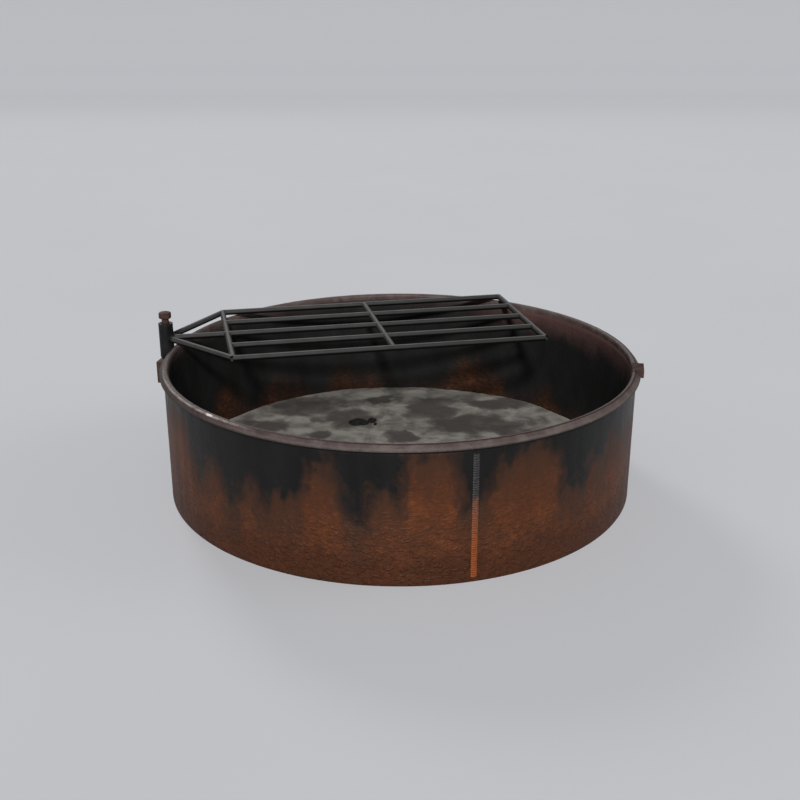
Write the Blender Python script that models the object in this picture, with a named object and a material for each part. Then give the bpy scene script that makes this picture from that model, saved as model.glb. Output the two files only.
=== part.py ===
"""Campfire ring with a flared lip, an ash bed and a cooking grate that swings on an outside pivot.

Sizes are in metres. The origin is on the ground in the middle of the ring, +Z is up, and the
grate's pivot stands outside the wall on -X.
"""

import math

import bmesh
import bpy
from mathutils import Vector

# Clearance that every seated or neighbouring piece keeps
GAP = 0.0003

# Rolled wall
WALL_RADIUS = 0.4572
WALL_THICKNESS = 0.009525
WALL_EDGE = 0.0004

# Lip on the wall, with a round crest that falls away to a thin outer edge
RIM_TOP = 0.2558
LIP_CREST = 0.0061
LIP_OVERHANG = 0.0079
LIP_EDGE = 0.0010
LIP_HEIGHT = 0.0116
LIP_WELD_LEG = 0.0050

# Weld that closes the rolled wall, on its outer face
SEAM_AZIMUTH = math.radians(-65.2)
SEAM_WIDTH = 0.0115
SEAM_RISE = 0.0024
SEAM_VALLEY = 0.0017
SEAM_PITCH = 0.0043
SEAM_FOOT = 0.0090
SEAM_HEAD_MARGIN = 0.0096

# Section of the seam's bead, as shares of its width and rise
SEAM_SECTION = ((-0.5, 0.0), (0.5, 0.0), (0.3, 0.75), (0.0, 1.0), (-0.3, 0.75))

# Lug that carries the pivot, welded to the wall's outer face
PIVOT_AZIMUTH = math.radians(180.0)
PIVOT_OFFSET = 0.0232
LUG_WIDTH = 0.0830
LUG_REACH = 0.0328
LUG_HEIGHT = 0.0445
LUG_DROP = 0.0296
LUG_EDGE = 0.0010
LUG_WELD_LEG = 0.0060
LUG_WELD_VALLEY = 0.0053
LUG_WELD_PITCH = 0.0040
LUG_WELD_MARGIN = 0.0020

# Hex-headed pivot bolt, held in the lug by a nut on a spring washer
BOLT_DIAMETER = 0.0143
BOLT_STICKOUT = 0.0030
BOLT_CHAMFER = 0.0010
HEAD_WIDTH = 0.0216
HEAD_HEIGHT = 0.0120
HEAD_CHAMFER = 0.0008
NUT_WIDTH = 0.0222
NUT_HEIGHT = 0.0115
NUT_CHAMFER = 0.0010
SPRING_WASHER_WIDTH = 0.0232
SPRING_WASHER_THICKNESS = 0.0030
SPRING_WASHER_SPLIT = math.radians(12.0)

# Sleeve that turns and lifts on the bolt, over a thrust washer
SLEEVE_DIAMETER = 0.0290
SLEEVE_LENGTH = 0.0675
SLEEVE_EDGE = 0.0008
RUNNING_CLEARANCE = 0.0009
LIFT_ROOM = 0.0105
THRUST_WASHER_DIAMETER = 0.0290
THRUST_WASHER_THICKNESS = 0.0018

# Cooking grate of round rods in one plane
GRATE_HEADING = math.radians(21.4)
GRATE_CLEARANCE = 0.0030
GRATE_ROD = 0.0120
GRATE_WIDTH = 0.3240
NEAR_REACH = 0.1226
END_PAST_CENTRE = 0.2717
BEAD = 0.0016
BEAD_SINK = 0.0009
BEAD_TAPER = 0.5
BEAD_SPREAD = math.radians(40.0)
BEAD_SHORT_TURN = math.radians(30.0)
BEAD_LONG_TURN = math.radians(130.0)

# Block that saddles the lip across the ring from the pivot
BLOCK_AZIMUTH = math.radians(-1.2)
BLOCK_WIDTH = 0.0470
BLOCK_DEPTH = 0.0216
BLOCK_HEIGHT = 0.0141
BLOCK_REACH = 0.0130
BLOCK_RISE = 0.0017
BLOCK_EDGE = 0.0008
BLOCK_BEAD = 0.0013

# Ash bed and the charcoal left on it
ASH_DEPTH = 0.0240
ASH_SWELL = 0.0025
ASH_CALM_RADIUS = 0.0850
ASH_CALM_FADE = 0.0500
CHARCOAL_HEADING = math.radians(9.0)
CHARCOAL_ROUGHNESS = 0.05
CHARCOAL_WAVES = (9.0, 8.0)

# Wavelength, heading and phase of each swell in the ash
ASH_WAVES = ((0.310, 0.4, 0.9), (0.190, 1.7, 2.6), (0.230, 2.8, 4.4))

# Name, place, size and roughness phase of each piece of charcoal
CHARCOAL = (
    ("charcoal_large", Vector((-0.1246, 0.1928)), Vector((0.0410, 0.0280, 0.0080)), 0.3),
    ("charcoal_small", Vector((-0.0975, 0.2092)), Vector((0.0180, 0.0240, 0.0065)), 1.9),
    ("charcoal_chip", Vector((-0.0864, 0.1897)), Vector((0.0080, 0.0140, 0.0045)), 4.1),
)

# Facet counts, angles that count as edges, and the distance at which doubled points merge
MERGE_DISTANCE = 0.00002
CREASE_ANGLE = math.radians(35.0)
CORNER_ANGLE = math.radians(60.0)
RING_STEPS = 96
LIP_STEPS = 8
LIP_EDGE_STEPS = 4
ROUND_SIDES = 24
ROD_SIDES = 16
BEAD_SIDES = 6
BUTT_BEAD_POINTS = 5
SLEEVE_BEAD_POINTS = 9
LUG_BACK_POINTS = 9
LUG_WELD_CORNER_POINTS = 4
ASH_RINGS = 8

# Finishes as linear colour, roughness and metallic
WALL_FINISH = ((0.105, 0.036, 0.014), 0.85, 0.35)
LIP_FINISH = ((0.120, 0.090, 0.085), 0.60, 0.55)
WELD_FINISH = ((0.200, 0.120, 0.085), 0.65, 0.60)
SOOT_FINISH = ((0.017, 0.018, 0.018), 0.80, 0.30)
RUST_FINISH = ((0.095, 0.055, 0.048), 0.80, 0.35)
GRATE_FINISH = ((0.030, 0.031, 0.032), 0.55, 0.60)
ASH_FINISH = ((0.130, 0.125, 0.110), 0.95, 0.00)
CHARCOAL_FINISH = ((0.022, 0.021, 0.020), 0.90, 0.00)

# Heights and radii that follow from the sizes above
WALL_INNER = WALL_RADIUS - WALL_THICKNESS
LIP_FOOT = RIM_TOP - LIP_HEIGHT
WALL_TOP = LIP_FOOT - GAP
PIVOT_RADIUS = WALL_RADIUS + PIVOT_OFFSET
LUG_TOP = RIM_TOP - LUG_DROP
LUG_FOOT = LUG_TOP - LUG_HEIGHT
THRUST_WASHER_FOOT = LUG_TOP + GAP
SLEEVE_FOOT = THRUST_WASHER_FOOT + THRUST_WASHER_THICKNESS + GAP
SLEEVE_TOP = SLEEVE_FOOT + SLEEVE_LENGTH
HEAD_FOOT = SLEEVE_TOP + LIFT_ROOM
SPRING_WASHER_FOOT = LUG_FOOT - GAP - SPRING_WASHER_THICKNESS
NUT_FOOT = SPRING_WASHER_FOOT - GAP - NUT_HEIGHT
BOLT_FOOT = NUT_FOOT - BOLT_STICKOUT
BOLT_HOLE_RADIUS = BOLT_DIAMETER / 2 + GAP
BORE_RADIUS = BOLT_DIAMETER / 2 + RUNNING_CLEARANCE
GRATE_HEIGHT = RIM_TOP + GRATE_CLEARANCE + GRATE_ROD / 2
END_REACH = PIVOT_RADIUS + END_PAST_CENTRE
MID_REACH = (NEAR_REACH + END_REACH) / 2

# Section of a fillet weld in shares of its leg, from its root
FILLET = ((0.0, 0.0), (1.0, 0.0), (0.62, 0.62), (0.0, 1.0))

# Directions in the grate's own frame, whose +X leads away from the pivot
OUT = Vector((1.0, 0.0, 0.0))
LEFT = Vector((0.0, 1.0, 0.0))
LEFT_HEADING = math.radians(90.0)
BOTH_SIDES = (0.0, math.pi)


def clear_scene():
    for item in list(bpy.data.objects):
        bpy.data.objects.remove(item)


def make_material(name, finish):
    colour, roughness, metallic = finish
    material = bpy.data.materials.new(name)
    material.use_nodes = True
    shader = material.node_tree.nodes["Principled BSDF"]
    shader.inputs["Base Color"].default_value = (*colour, 1.0)
    shader.inputs["Roughness"].default_value = roughness
    shader.inputs["Metallic"].default_value = metallic
    return material


def add_object(name, mesh, parent=None, place=(0.0, 0.0, 0.0), heading=0.0):
    """Turn a finished bmesh into an object."""
    bmesh.ops.recalc_face_normals(mesh, faces=mesh.faces)
    data = bpy.data.meshes.new(name)
    mesh.to_mesh(data)
    mesh.free()
    data.shade_smooth()
    data.set_sharp_from_angle(angle=CREASE_ANGLE)
    item = bpy.data.objects.new(name, data)
    bpy.context.collection.objects.link(item)
    item.parent = parent
    item.location = place
    item.rotation_euler.z = heading
    return item


def add_piece(name, mesh, finish, parent=None, place=(0.0, 0.0, 0.0), heading=0.0):
    item = add_object(name, mesh, parent, place, heading)
    item.data.materials.append(make_material(name, finish))
    return item


def add_helper(name, mesh, parent=None, place=(0.0, 0.0, 0.0), heading=0.0):
    """Add a shape that only cuts or adds to a piece."""
    item = add_object(name, mesh, parent, place, heading)
    item.hide_render = True
    item.display_type = "WIRE"
    return item


def cut(piece, *cutters):
    """Take the cutters out of a piece."""
    for cutter in cutters:
        modifier = piece.modifiers.new(cutter.name, "BOOLEAN")
        modifier.operation = "DIFFERENCE"
        modifier.object = cutter


def weld_on(piece, beads, parent=None, heading=0.0):
    """Fuse weld beads onto a piece, and merge the doubled points that this leaves."""
    helper = add_helper(piece.name + "_beads", beads, parent, heading=heading)
    modifier = piece.modifiers.new(helper.name, "BOOLEAN")
    modifier.operation = "UNION"
    modifier.object = helper
    merge = piece.modifiers.new("merge", "WELD")
    merge.merge_threshold = MERGE_DISTANCE


def bevel_edges(piece, width):
    modifier = piece.modifiers.new("edges", "BEVEL")
    modifier.width = width
    modifier.segments = 2
    modifier.limit_method = "ANGLE"
    modifier.angle_limit = CORNER_ANGLE


def polar(radius, angle, height):
    return Vector((radius * math.cos(angle), radius * math.sin(angle), height))


def add_loft(mesh, rings, closed=False):
    """Skin a run of point rings, capped at both ends unless it closes on itself."""
    loops = [[mesh.verts.new(point) for point in ring] for ring in rings]
    pairs = list(zip(loops, loops[1:]))
    if closed:
        pairs.append((loops[-1], loops[0]))
    for first, second in pairs:
        for i, corner in enumerate(first):
            j = (i + 1) % len(first)
            mesh.faces.new((corner, first[j], second[j], second[i]))
    if not closed:
        mesh.faces.new(loops[0])
        mesh.faces.new(loops[-1])


def loft(rings, closed=False):
    mesh = bmesh.new()
    add_loft(mesh, rings, closed)
    return mesh


def turned(outline, steps, start=0.0, sweep=2 * math.pi):
    """Turn a closed (radius, height) outline about Z, all the way or over a sweep."""
    closed = sweep >= 2 * math.pi
    count = steps if closed else steps + 1
    rings = []
    for i in range(count):
        angle = start + sweep * i / steps
        rings.append([polar(radius, angle, height) for radius, height in outline])
    return loft(rings, closed)


def chamfered_outline(inner, outer, foot, top, edge):
    """Give the outline of a turned ring with its four edges broken."""
    return (
        (inner + edge, foot),
        (outer - edge, foot),
        (outer, foot + edge),
        (outer, top - edge),
        (outer - edge, top),
        (inner + edge, top),
        (inner, top - edge),
        (inner, foot + edge),
    )


def round_ring(radius, height, steps=ROUND_SIDES):
    return [polar(radius, 2 * math.pi * i / steps, height) for i in range(steps)]


def flatted_ring(sides, across, height, limit=None):
    """Give a ring whose points lie on a polygon, at most a limit away from the axis."""
    half = math.pi / sides
    points = []
    for i in range(ROUND_SIDES):
        angle = 2 * math.pi * i / ROUND_SIDES
        radius = across / 2 / math.cos((angle + half) % (2 * half) - half)
        if limit is not None:
            radius = min(radius, limit)
        points.append(polar(radius, angle, height))
    return points


def rod(length, radius):
    """Make a round rod along +X from the origin, with a vertex line on top."""
    rings = []
    for x in (0.0, length):
        angles = [2 * math.pi * i / ROD_SIDES for i in range(ROD_SIDES)]
        rings.append([Vector((x, radius * math.cos(a), radius * math.sin(a))) for a in angles])
    return loft(rings)


def upright(radius, foot, top):
    return loft([round_ring(radius, foot), round_ring(radius, top)])


def add_bead(mesh, path, radius):
    """Lay a weld bead along a path, drawn in at both ends."""
    last = len(path) - 1
    across = (path[1] - path[0]).orthogonal().normalized()
    rings = []
    for i, point in enumerate(path):
        ahead = (path[min(i + 1, last)] - path[max(i - 1, 0)]).normalized()
        across = (across - ahead * across.dot(ahead)).normalized()
        rise = ahead.cross(across)
        size = radius * (BEAD_TAPER if i in (0, last) else 1.0)
        ring = []
        for k in range(BEAD_SIDES):
            angle = 2 * math.pi * k / BEAD_SIDES
            ring.append(point + (across * math.cos(angle) + rise * math.sin(angle)) * size)
        rings.append(ring)
    add_loft(mesh, rings)


def spread(low, high, count):
    """Give evenly spaced values, both ends included."""
    return [low + (high - low) * i / (count - 1) for i in range(count)]


# Wall and rim


def lip_crown(clearance=0.0, start=math.pi, stop=-math.pi / 2):
    """Give the lip's upper outline as (radius, height), from one direction round to another.

    It runs over the crest's circle, along the line that touches both circles, and round the
    outer edge's circle.
    """
    crest = Vector((WALL_INNER + LIP_CREST, RIM_TOP - LIP_CREST))
    edge = Vector((WALL_RADIUS + LIP_OVERHANG - LIP_EDGE, LIP_FOOT + LIP_EDGE))
    run = edge - crest
    change = math.atan2(run.y, run.x) + math.acos((LIP_CREST - LIP_EDGE) / run.length)
    outline = []
    arcs = (
        (crest, LIP_CREST, start, change, LIP_STEPS),
        (edge, LIP_EDGE, change, stop, LIP_EDGE_STEPS),
    )
    for middle, radius, low, high, steps in arcs:
        for angle in spread(low, high, steps + 1):
            reach = radius + clearance
            outline.append((middle.x + reach * math.cos(angle), middle.y + reach * math.sin(angle)))
    return outline


def build_wall():
    outline = chamfered_outline(WALL_INNER, WALL_RADIUS, 0.0, WALL_TOP, WALL_EDGE)
    add_piece("ring_wall", turned(outline, RING_STEPS), WALL_FINISH)
    lip = lip_crown() + [(WALL_INNER, LIP_FOOT)]
    add_piece("rim_lip", turned(lip, RING_STEPS), LIP_FINISH)


def build_lip_weld():
    """Run a fillet round the corner between the wall and the lip that overhangs it."""
    root = WALL_RADIUS + GAP
    top = LIP_FOOT - GAP
    fillet = [(root + out * LIP_WELD_LEG, top - down * LIP_WELD_LEG) for out, down in FILLET]
    add_piece("lip_weld", turned(fillet, RING_STEPS), SOOT_FINISH)


def build_seam_weld():
    """Stack ripples up the wall's outer face."""
    foot = SEAM_FOOT
    top = WALL_TOP - SEAM_HEAD_MARGIN
    count = 2 * round((top - foot) / SEAM_PITCH) + 1
    back = WALL_RADIUS + GAP
    rings = []
    for i, height in enumerate(spread(foot, top, count)):
        rise = SEAM_RISE if i % 2 else SEAM_VALLEY
        ring = [polar(back + p * rise, t * SEAM_WIDTH / back, height) for t, p in SEAM_SECTION]
        rings.append(ring)
    add_piece("seam_weld", loft(rings), WELD_FINISH, heading=SEAM_AZIMUTH)


# Pivot


def wall_line(offset):
    """Give the distance of the wall's cleared outer face from the ring's middle plane."""
    return math.sqrt((WALL_RADIUS + GAP) ** 2 - offset**2)


def build_lug():
    half = LUG_WIDTH / 2
    outer = WALL_RADIUS + LUG_REACH
    back = [Vector((wall_line(offset), offset)) for offset in spread(half, -half, LUG_BACK_POINTS)]
    plan = [Vector((outer, -half)), Vector((outer, half))] + back
    rings = [[Vector((*point, height)) for point in plan] for height in (LUG_FOOT, LUG_TOP)]
    lug = add_piece("pivot_lug", loft(rings), RUST_FINISH, heading=PIVOT_AZIMUTH)
    bevel_edges(lug, LUG_EDGE)
    hole = add_helper(
        "lug_hole",
        upright(BOLT_HOLE_RADIUS, LUG_FOOT - LUG_WELD_LEG, LUG_TOP + LUG_WELD_LEG),
        place=polar(PIVOT_RADIUS, PIVOT_AZIMUTH, 0.0),
    )
    cut(lug, hole)


def fillet_section(arc, height, out_arc, out_height, leg):
    """Give a fillet's section on the wall, its foot at an arc length and height.

    The fillet leans away from the lug along the wall, and out from the wall along the lug.
    """
    root = WALL_RADIUS + GAP
    points = []
    for away, out in FILLET:
        angle = (arc + away * leg * out_arc) / root
        points.append(polar(root + out * leg, angle, height + away * leg * out_height))
    return points


def build_lug_weld():
    """Run a rippled fillet down one side of the lug, under it and up the other side."""
    half = LUG_WIDTH / 2
    side_count = 2 * round(LUG_HEIGHT / LUG_WELD_PITCH) + 1
    foot_count = 2 * round(LUG_WIDTH / LUG_WELD_PITCH) + 1
    quarter = math.pi / 2
    rings = []
    for height in spread(LUG_TOP - LUG_WELD_MARGIN, LUG_FOOT, side_count):
        rings.append((-half - GAP, height, -1.0, 0.0))
    for turn in spread(0.0, quarter, LUG_WELD_CORNER_POINTS)[1:-1]:
        out_arc, out_height = -math.cos(turn), -math.sin(turn)
        rings.append((-half + GAP * out_arc, LUG_FOOT + GAP * out_height, out_arc, out_height))
    for arc in spread(-half, half, foot_count):
        rings.append((arc, LUG_FOOT - GAP, 0.0, -1.0))
    mirrored = [(-arc, height, -out_arc, out_height) for arc, height, out_arc, out_height in rings]
    rings += mirrored[side_count + 1::-1]
    legs = [LUG_WELD_LEG if i % 2 else LUG_WELD_VALLEY for i in range(len(rings))]
    weld = loft([fillet_section(*ring, leg) for ring, leg in zip(rings, legs)])
    add_piece("lug_weld", weld, RUST_FINISH, heading=PIVOT_AZIMUTH)


def build_bolt(place):
    radius = BOLT_DIAMETER / 2
    head_top = HEAD_FOOT + HEAD_HEIGHT
    rings = [
        round_ring(radius - BOLT_CHAMFER, BOLT_FOOT),
        round_ring(radius, BOLT_FOOT + BOLT_CHAMFER),
        round_ring(radius, HEAD_FOOT),
        flatted_ring(6, HEAD_WIDTH, HEAD_FOOT),
        flatted_ring(6, HEAD_WIDTH, head_top - HEAD_CHAMFER),
        flatted_ring(6, HEAD_WIDTH - 2 * HEAD_CHAMFER, head_top),
    ]
    add_piece("pivot_bolt", loft(rings), RUST_FINISH, place=place)


def build_nut(place):
    corner_limit = NUT_WIDTH / 2 + NUT_CHAMFER / 2
    nut_top = NUT_FOOT + NUT_HEIGHT
    rings = [
        flatted_ring(6, NUT_WIDTH, NUT_FOOT, corner_limit),
        flatted_ring(6, NUT_WIDTH, NUT_FOOT + NUT_CHAMFER),
        flatted_ring(6, NUT_WIDTH, nut_top - NUT_CHAMFER),
        flatted_ring(6, NUT_WIDTH, nut_top, corner_limit),
        round_ring(BOLT_HOLE_RADIUS, nut_top),
        round_ring(BOLT_HOLE_RADIUS, NUT_FOOT),
    ]
    add_piece("pivot_nut", loft(rings, closed=True), RUST_FINISH, place=place)


def build_washers(place, lift_frame):
    outer = SPRING_WASHER_WIDTH / 2
    top = SPRING_WASHER_FOOT + SPRING_WASHER_THICKNESS
    outline = (
        (BOLT_HOLE_RADIUS, SPRING_WASHER_FOOT),
        (outer, SPRING_WASHER_FOOT),
        (outer, top),
        (BOLT_HOLE_RADIUS, top),
    )
    sweep = 2 * math.pi - SPRING_WASHER_SPLIT
    spring = turned(outline, ROUND_SIDES, SPRING_WASHER_SPLIT / 2, sweep)
    add_piece("spring_washer", spring, RUST_FINISH, place=place)

    outer = THRUST_WASHER_DIAMETER / 2
    outline = (
        (BORE_RADIUS, 0.0),
        (outer, 0.0),
        (outer, THRUST_WASHER_THICKNESS),
        (BORE_RADIUS, THRUST_WASHER_THICKNESS),
    )
    add_piece("thrust_washer", turned(outline, ROUND_SIDES), GRATE_FINISH, lift_frame)


def build_pivot(lift_frame):
    place = polar(PIVOT_RADIUS, PIVOT_AZIMUTH, 0.0)
    build_lug()
    build_lug_weld()
    build_bolt(place)
    build_nut(place)
    build_washers(place, lift_frame)


# Cooking grate


def add_frame(name, place, heading=0.0, parent=None):
    """Add an empty that carries a moving body on its joint's axis."""
    frame = bpy.data.objects.new(name, None)
    bpy.context.collection.objects.link(frame)
    frame.parent = parent
    frame.location = place
    frame.rotation_euler.z = heading
    return frame


def butt_beads(mesh, seat, along, across, middles):
    """Lay beads where a rod that leads along leaves a bar across it, at angles round the rod."""
    reach = GRATE_ROD / 2 + BEAD - BEAD_SINK
    host_reach = GRATE_ROD / 2 + GAP + BEAD
    for middle in middles:
        path = []
        for angle in spread(middle - BEAD_SPREAD, middle + BEAD_SPREAD, BUTT_BEAD_POINTS):
            rise = reach * math.sin(angle)
            out = along * math.sqrt(host_reach**2 - rise**2)
            aside = across * (reach * math.cos(angle))
            path.append(seat + out + aside + Vector((0.0, 0.0, rise)))
        add_bead(mesh, path, BEAD)


def sleeve_bead(mesh, heading, low, high):
    """Lay a bead over a rod where it meets the sleeve, between two angles round the rod."""
    along = Vector((math.cos(heading), math.sin(heading), 0.0))
    across = Vector((-along.y, along.x, 0.0))
    reach = GRATE_ROD / 2 + BEAD - BEAD_SINK
    host_reach = SLEEVE_DIAMETER / 2 + GAP + BEAD
    path = []
    for angle in spread(low, high, SLEEVE_BEAD_POINTS):
        aside = reach * math.cos(angle)
        out = math.sqrt(host_reach**2 - aside**2)
        path.append(along * out + across * aside + Vector((0.0, 0.0, reach * math.sin(angle))))
    add_bead(mesh, path, BEAD)


def build_sleeve(frame):
    foot = SLEEVE_FOOT - GRATE_HEIGHT
    outline = chamfered_outline(BORE_RADIUS, SLEEVE_DIAMETER / 2, foot, foot + SLEEVE_LENGTH, SLEEVE_EDGE)
    add_piece("grate_sleeve", turned(outline, ROUND_SIDES), GRATE_FINISH, frame)


def build_grate(frame):
    radius = GRATE_ROD / 2
    cleared = radius + GAP
    half = GRATE_WIDTH / 2
    bar_names = ("front_side_bar", "front_inner_bar", "centre_bar", "rear_inner_bar", "rear_side_bar")
    offsets = spread(-half, half, len(bar_names))
    bar_length = END_REACH - NEAR_REACH

    bar_helpers = []
    for name, offset in zip(bar_names, offsets):
        mesh = rod(bar_length + 2 * GAP, cleared)
        place = (NEAR_REACH - GAP, offset, 0.0)
        bar_helpers.append(add_helper(name + "_cutter", mesh, frame, place))
    end_helpers = []
    for name, reach in (("near", NEAR_REACH), ("end", END_REACH)):
        mesh = rod(GRATE_WIDTH + 2 * GRATE_ROD, cleared)
        place = (reach, -half - GRATE_ROD, 0.0)
        end_helpers.append(add_helper(name + "_crossbar_cutter", mesh, frame, place, LEFT_HEADING))

    build_sleeve(frame)
    build_arms(frame, end_helpers[0])
    for name, offset in zip(bar_names, offsets):
        place = (NEAR_REACH, offset, 0.0)
        bar = add_piece(name, rod(bar_length, radius), GRATE_FINISH, frame, place)
        if abs(offset) < half:
            cut(bar, *end_helpers)
            beads = bmesh.new()
            butt_beads(beads, Vector((NEAR_REACH, offset, 0.0)), OUT, LEFT, BOTH_SIDES)
            butt_beads(beads, Vector((END_REACH, offset, 0.0)), -OUT, LEFT, BOTH_SIDES)
            weld_on(bar, beads, frame)
    for name, reach, inward in (("near_crossbar", NEAR_REACH, OUT), ("end_crossbar", END_REACH, -OUT)):
        mesh = rod(GRATE_WIDTH, radius)
        crossbar = add_piece(name, mesh, GRATE_FINISH, frame, (reach, -half, 0.0), LEFT_HEADING)
        cut(crossbar, bar_helpers[0], bar_helpers[-1])
        beads = bmesh.new()
        butt_beads(beads, Vector((reach, -half, 0.0)), LEFT, inward, (0.0,))
        butt_beads(beads, Vector((reach, half, 0.0)), -LEFT, inward, (0.0,))
        weld_on(crossbar, beads, frame)
    for i in range(len(bar_names) - 1):
        low, high = offsets[i], offsets[i + 1]
        place = (MID_REACH, low, 0.0)
        mesh = rod(high - low, radius)
        segment = add_piece(f"mid_crossbar_{i + 1}", mesh, GRATE_FINISH, frame, place, LEFT_HEADING)
        cut(segment, bar_helpers[i], bar_helpers[i + 1])
        beads = bmesh.new()
        butt_beads(beads, Vector((MID_REACH, low, 0.0)), LEFT, OUT, BOTH_SIDES)
        butt_beads(beads, Vector((MID_REACH, high, 0.0)), -LEFT, OUT, BOTH_SIDES)
        weld_on(segment, beads, frame)


def build_arms(frame, near_helper):
    """Run a stem and two diagonals from the sleeve to the near crossbar."""
    radius = GRATE_ROD / 2
    half = GRATE_WIDTH / 2
    foot = SLEEVE_FOOT - GRATE_HEIGHT
    sleeve = upright(SLEEVE_DIAMETER / 2 + GAP, foot, foot + SLEEVE_LENGTH)
    sleeve_helper = add_helper("sleeve_cutter", sleeve, frame)
    stem_helper = add_helper("stem_cutter", rod(NEAR_REACH, radius + GAP), frame)
    top = math.radians(90.0)

    stem = add_piece("stem_bar", rod(NEAR_REACH, radius), GRATE_FINISH, frame)
    cut(stem, near_helper, sleeve_helper)
    beads = bmesh.new()
    sleeve_bead(beads, 0.0, top - BEAD_SHORT_TURN, top + BEAD_SHORT_TURN)
    butt_beads(beads, Vector((NEAR_REACH, 0.0, 0.0)), -OUT, LEFT, BOTH_SIDES)
    weld_on(stem, beads, frame)

    heading = math.atan2(half, NEAR_REACH)
    length = math.hypot(half, NEAR_REACH)
    arms = (
        ("front_diagonal", -heading, top - BEAD_SHORT_TURN, top + BEAD_LONG_TURN),
        ("rear_diagonal", heading, top - BEAD_LONG_TURN, top + BEAD_SHORT_TURN),
    )
    for name, arm_heading, low, high in arms:
        diagonal = add_piece(name, rod(length, radius), GRATE_FINISH, frame, heading=arm_heading)
        cut(diagonal, sleeve_helper, stem_helper, near_helper)
        beads = bmesh.new()
        sleeve_bead(beads, arm_heading, low, high)
        weld_on(diagonal, beads, frame)


# Rim block


def build_rim_block():
    """Seat a block over the lip, with a leg outside the lip's edge and a bead at each end."""
    half = BLOCK_WIDTH / 2
    outer = WALL_RADIUS + BLOCK_REACH
    inner = outer - BLOCK_DEPTH
    top = RIM_TOP + BLOCK_RISE
    plan = ((inner, -half), (outer, -half), (outer, half), (inner, half))
    rings = [[Vector((*point, height)) for point in plan] for height in (top - BLOCK_HEIGHT, top)]
    block = add_piece("rim_block", loft(rings), RUST_FINISH, heading=BLOCK_AZIMUTH)
    bevel_edges(block, BLOCK_EDGE)
    crown = lip_crown(GAP, stop=0.0)
    low = top - 2 * BLOCK_HEIGHT
    hollow = crown + [(crown[-1][0], low), (crown[0][0], low)]
    cut(block, add_helper("lip_cutter", turned(hollow, RING_STEPS)))

    beads = bmesh.new()
    aside = math.asin((half + BLOCK_BEAD - BEAD_SINK) / WALL_RADIUS)
    crown = lip_crown(GAP + BLOCK_BEAD, math.pi / 2, 0.0)
    for angle in (-aside, aside):
        add_bead(beads, [polar(radius, angle, height) for radius, height in crown], BLOCK_BEAD)
    weld_on(block, beads, heading=BLOCK_AZIMUTH)


# Ash and charcoal


def ash_height(x, y):
    """Give the ash's height at a point, level in the middle and round each piece of charcoal."""
    swell = 0.0
    for length, heading, phase in ASH_WAVES:
        along = x * math.cos(heading) + y * math.sin(heading)
        swell += math.sin(2 * math.pi * along / length + phase) / len(ASH_WAVES)
    level_spots = [Vector((0.0, 0.0))] + [place for _, place, _, _ in CHARCOAL]
    for spot in level_spots:
        distance = (Vector((x, y)) - spot).length
        swell *= min(max((distance - ASH_CALM_RADIUS) / ASH_CALM_FADE, 0.0), 1.0)
    return ASH_DEPTH + ASH_SWELL * swell


def build_ash():
    outer = WALL_INNER - GAP
    rings = [round_ring(outer, 0.0, RING_STEPS)]
    for i in range(ASH_RINGS):
        ring = round_ring(outer * (1 - i / ASH_RINGS), 0.0, RING_STEPS)
        for point in ring:
            point.z = ash_height(point.x, point.y)
        rings.append(ring)
    add_piece("ash_bed", loft(rings), ASH_FINISH)


def build_charcoal():
    """Lay rough lumps with flat undersides on the ash."""
    for name, place, size, phase in CHARCOAL:
        mesh = bmesh.new()
        bmesh.ops.create_icosphere(mesh, subdivisions=2, radius=0.5)
        for corner in mesh.verts:
            along, across = CHARCOAL_WAVES
            wave = math.sin(along * corner.co.x + phase) * math.cos(across * corner.co.y - phase)
            corner.co *= 1.0 + CHARCOAL_ROUGHNESS * wave
            corner.co.x *= size.x
            corner.co.y *= size.y
            corner.co.z *= 2 * size.z
        geometry = mesh.verts[:] + mesh.edges[:] + mesh.faces[:]
        bmesh.ops.bisect_plane(
            mesh, geom=geometry, plane_co=(0.0, 0.0, 0.0), plane_no=(0.0, 0.0, 1.0), clear_inner=True
        )
        rim = [edge for edge in mesh.edges if edge.is_boundary]
        bmesh.ops.edgeloop_fill(mesh, edges=rim)
        spot = (place.x, place.y, ASH_DEPTH + GAP)
        add_piece(name, mesh, CHARCOAL_FINISH, place=spot, heading=CHARCOAL_HEADING)


def main():
    clear_scene()
    build_wall()
    build_lip_weld()
    build_seam_weld()
    lift_frame = add_frame("lift_frame", polar(PIVOT_RADIUS, PIVOT_AZIMUTH, THRUST_WASHER_FOOT))
    build_pivot(lift_frame)
    rise = GRATE_HEIGHT - THRUST_WASHER_FOOT
    grate_frame = add_frame("grate_frame", (0.0, 0.0, rise), GRATE_HEADING, lift_frame)
    build_grate(grate_frame)
    build_rim_block()
    build_ash()
    build_charcoal()


main()
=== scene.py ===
"""Looks of a campfire ring: sooted and rusted steel, grey ash, and a grate that swings on its pivot.

Sizes are in metres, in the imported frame: the origin is on the ground in the middle of the ring.
"""
import math
import random

import bmesh
import bpy
from mathutils import Matrix, Vector, noise


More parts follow.
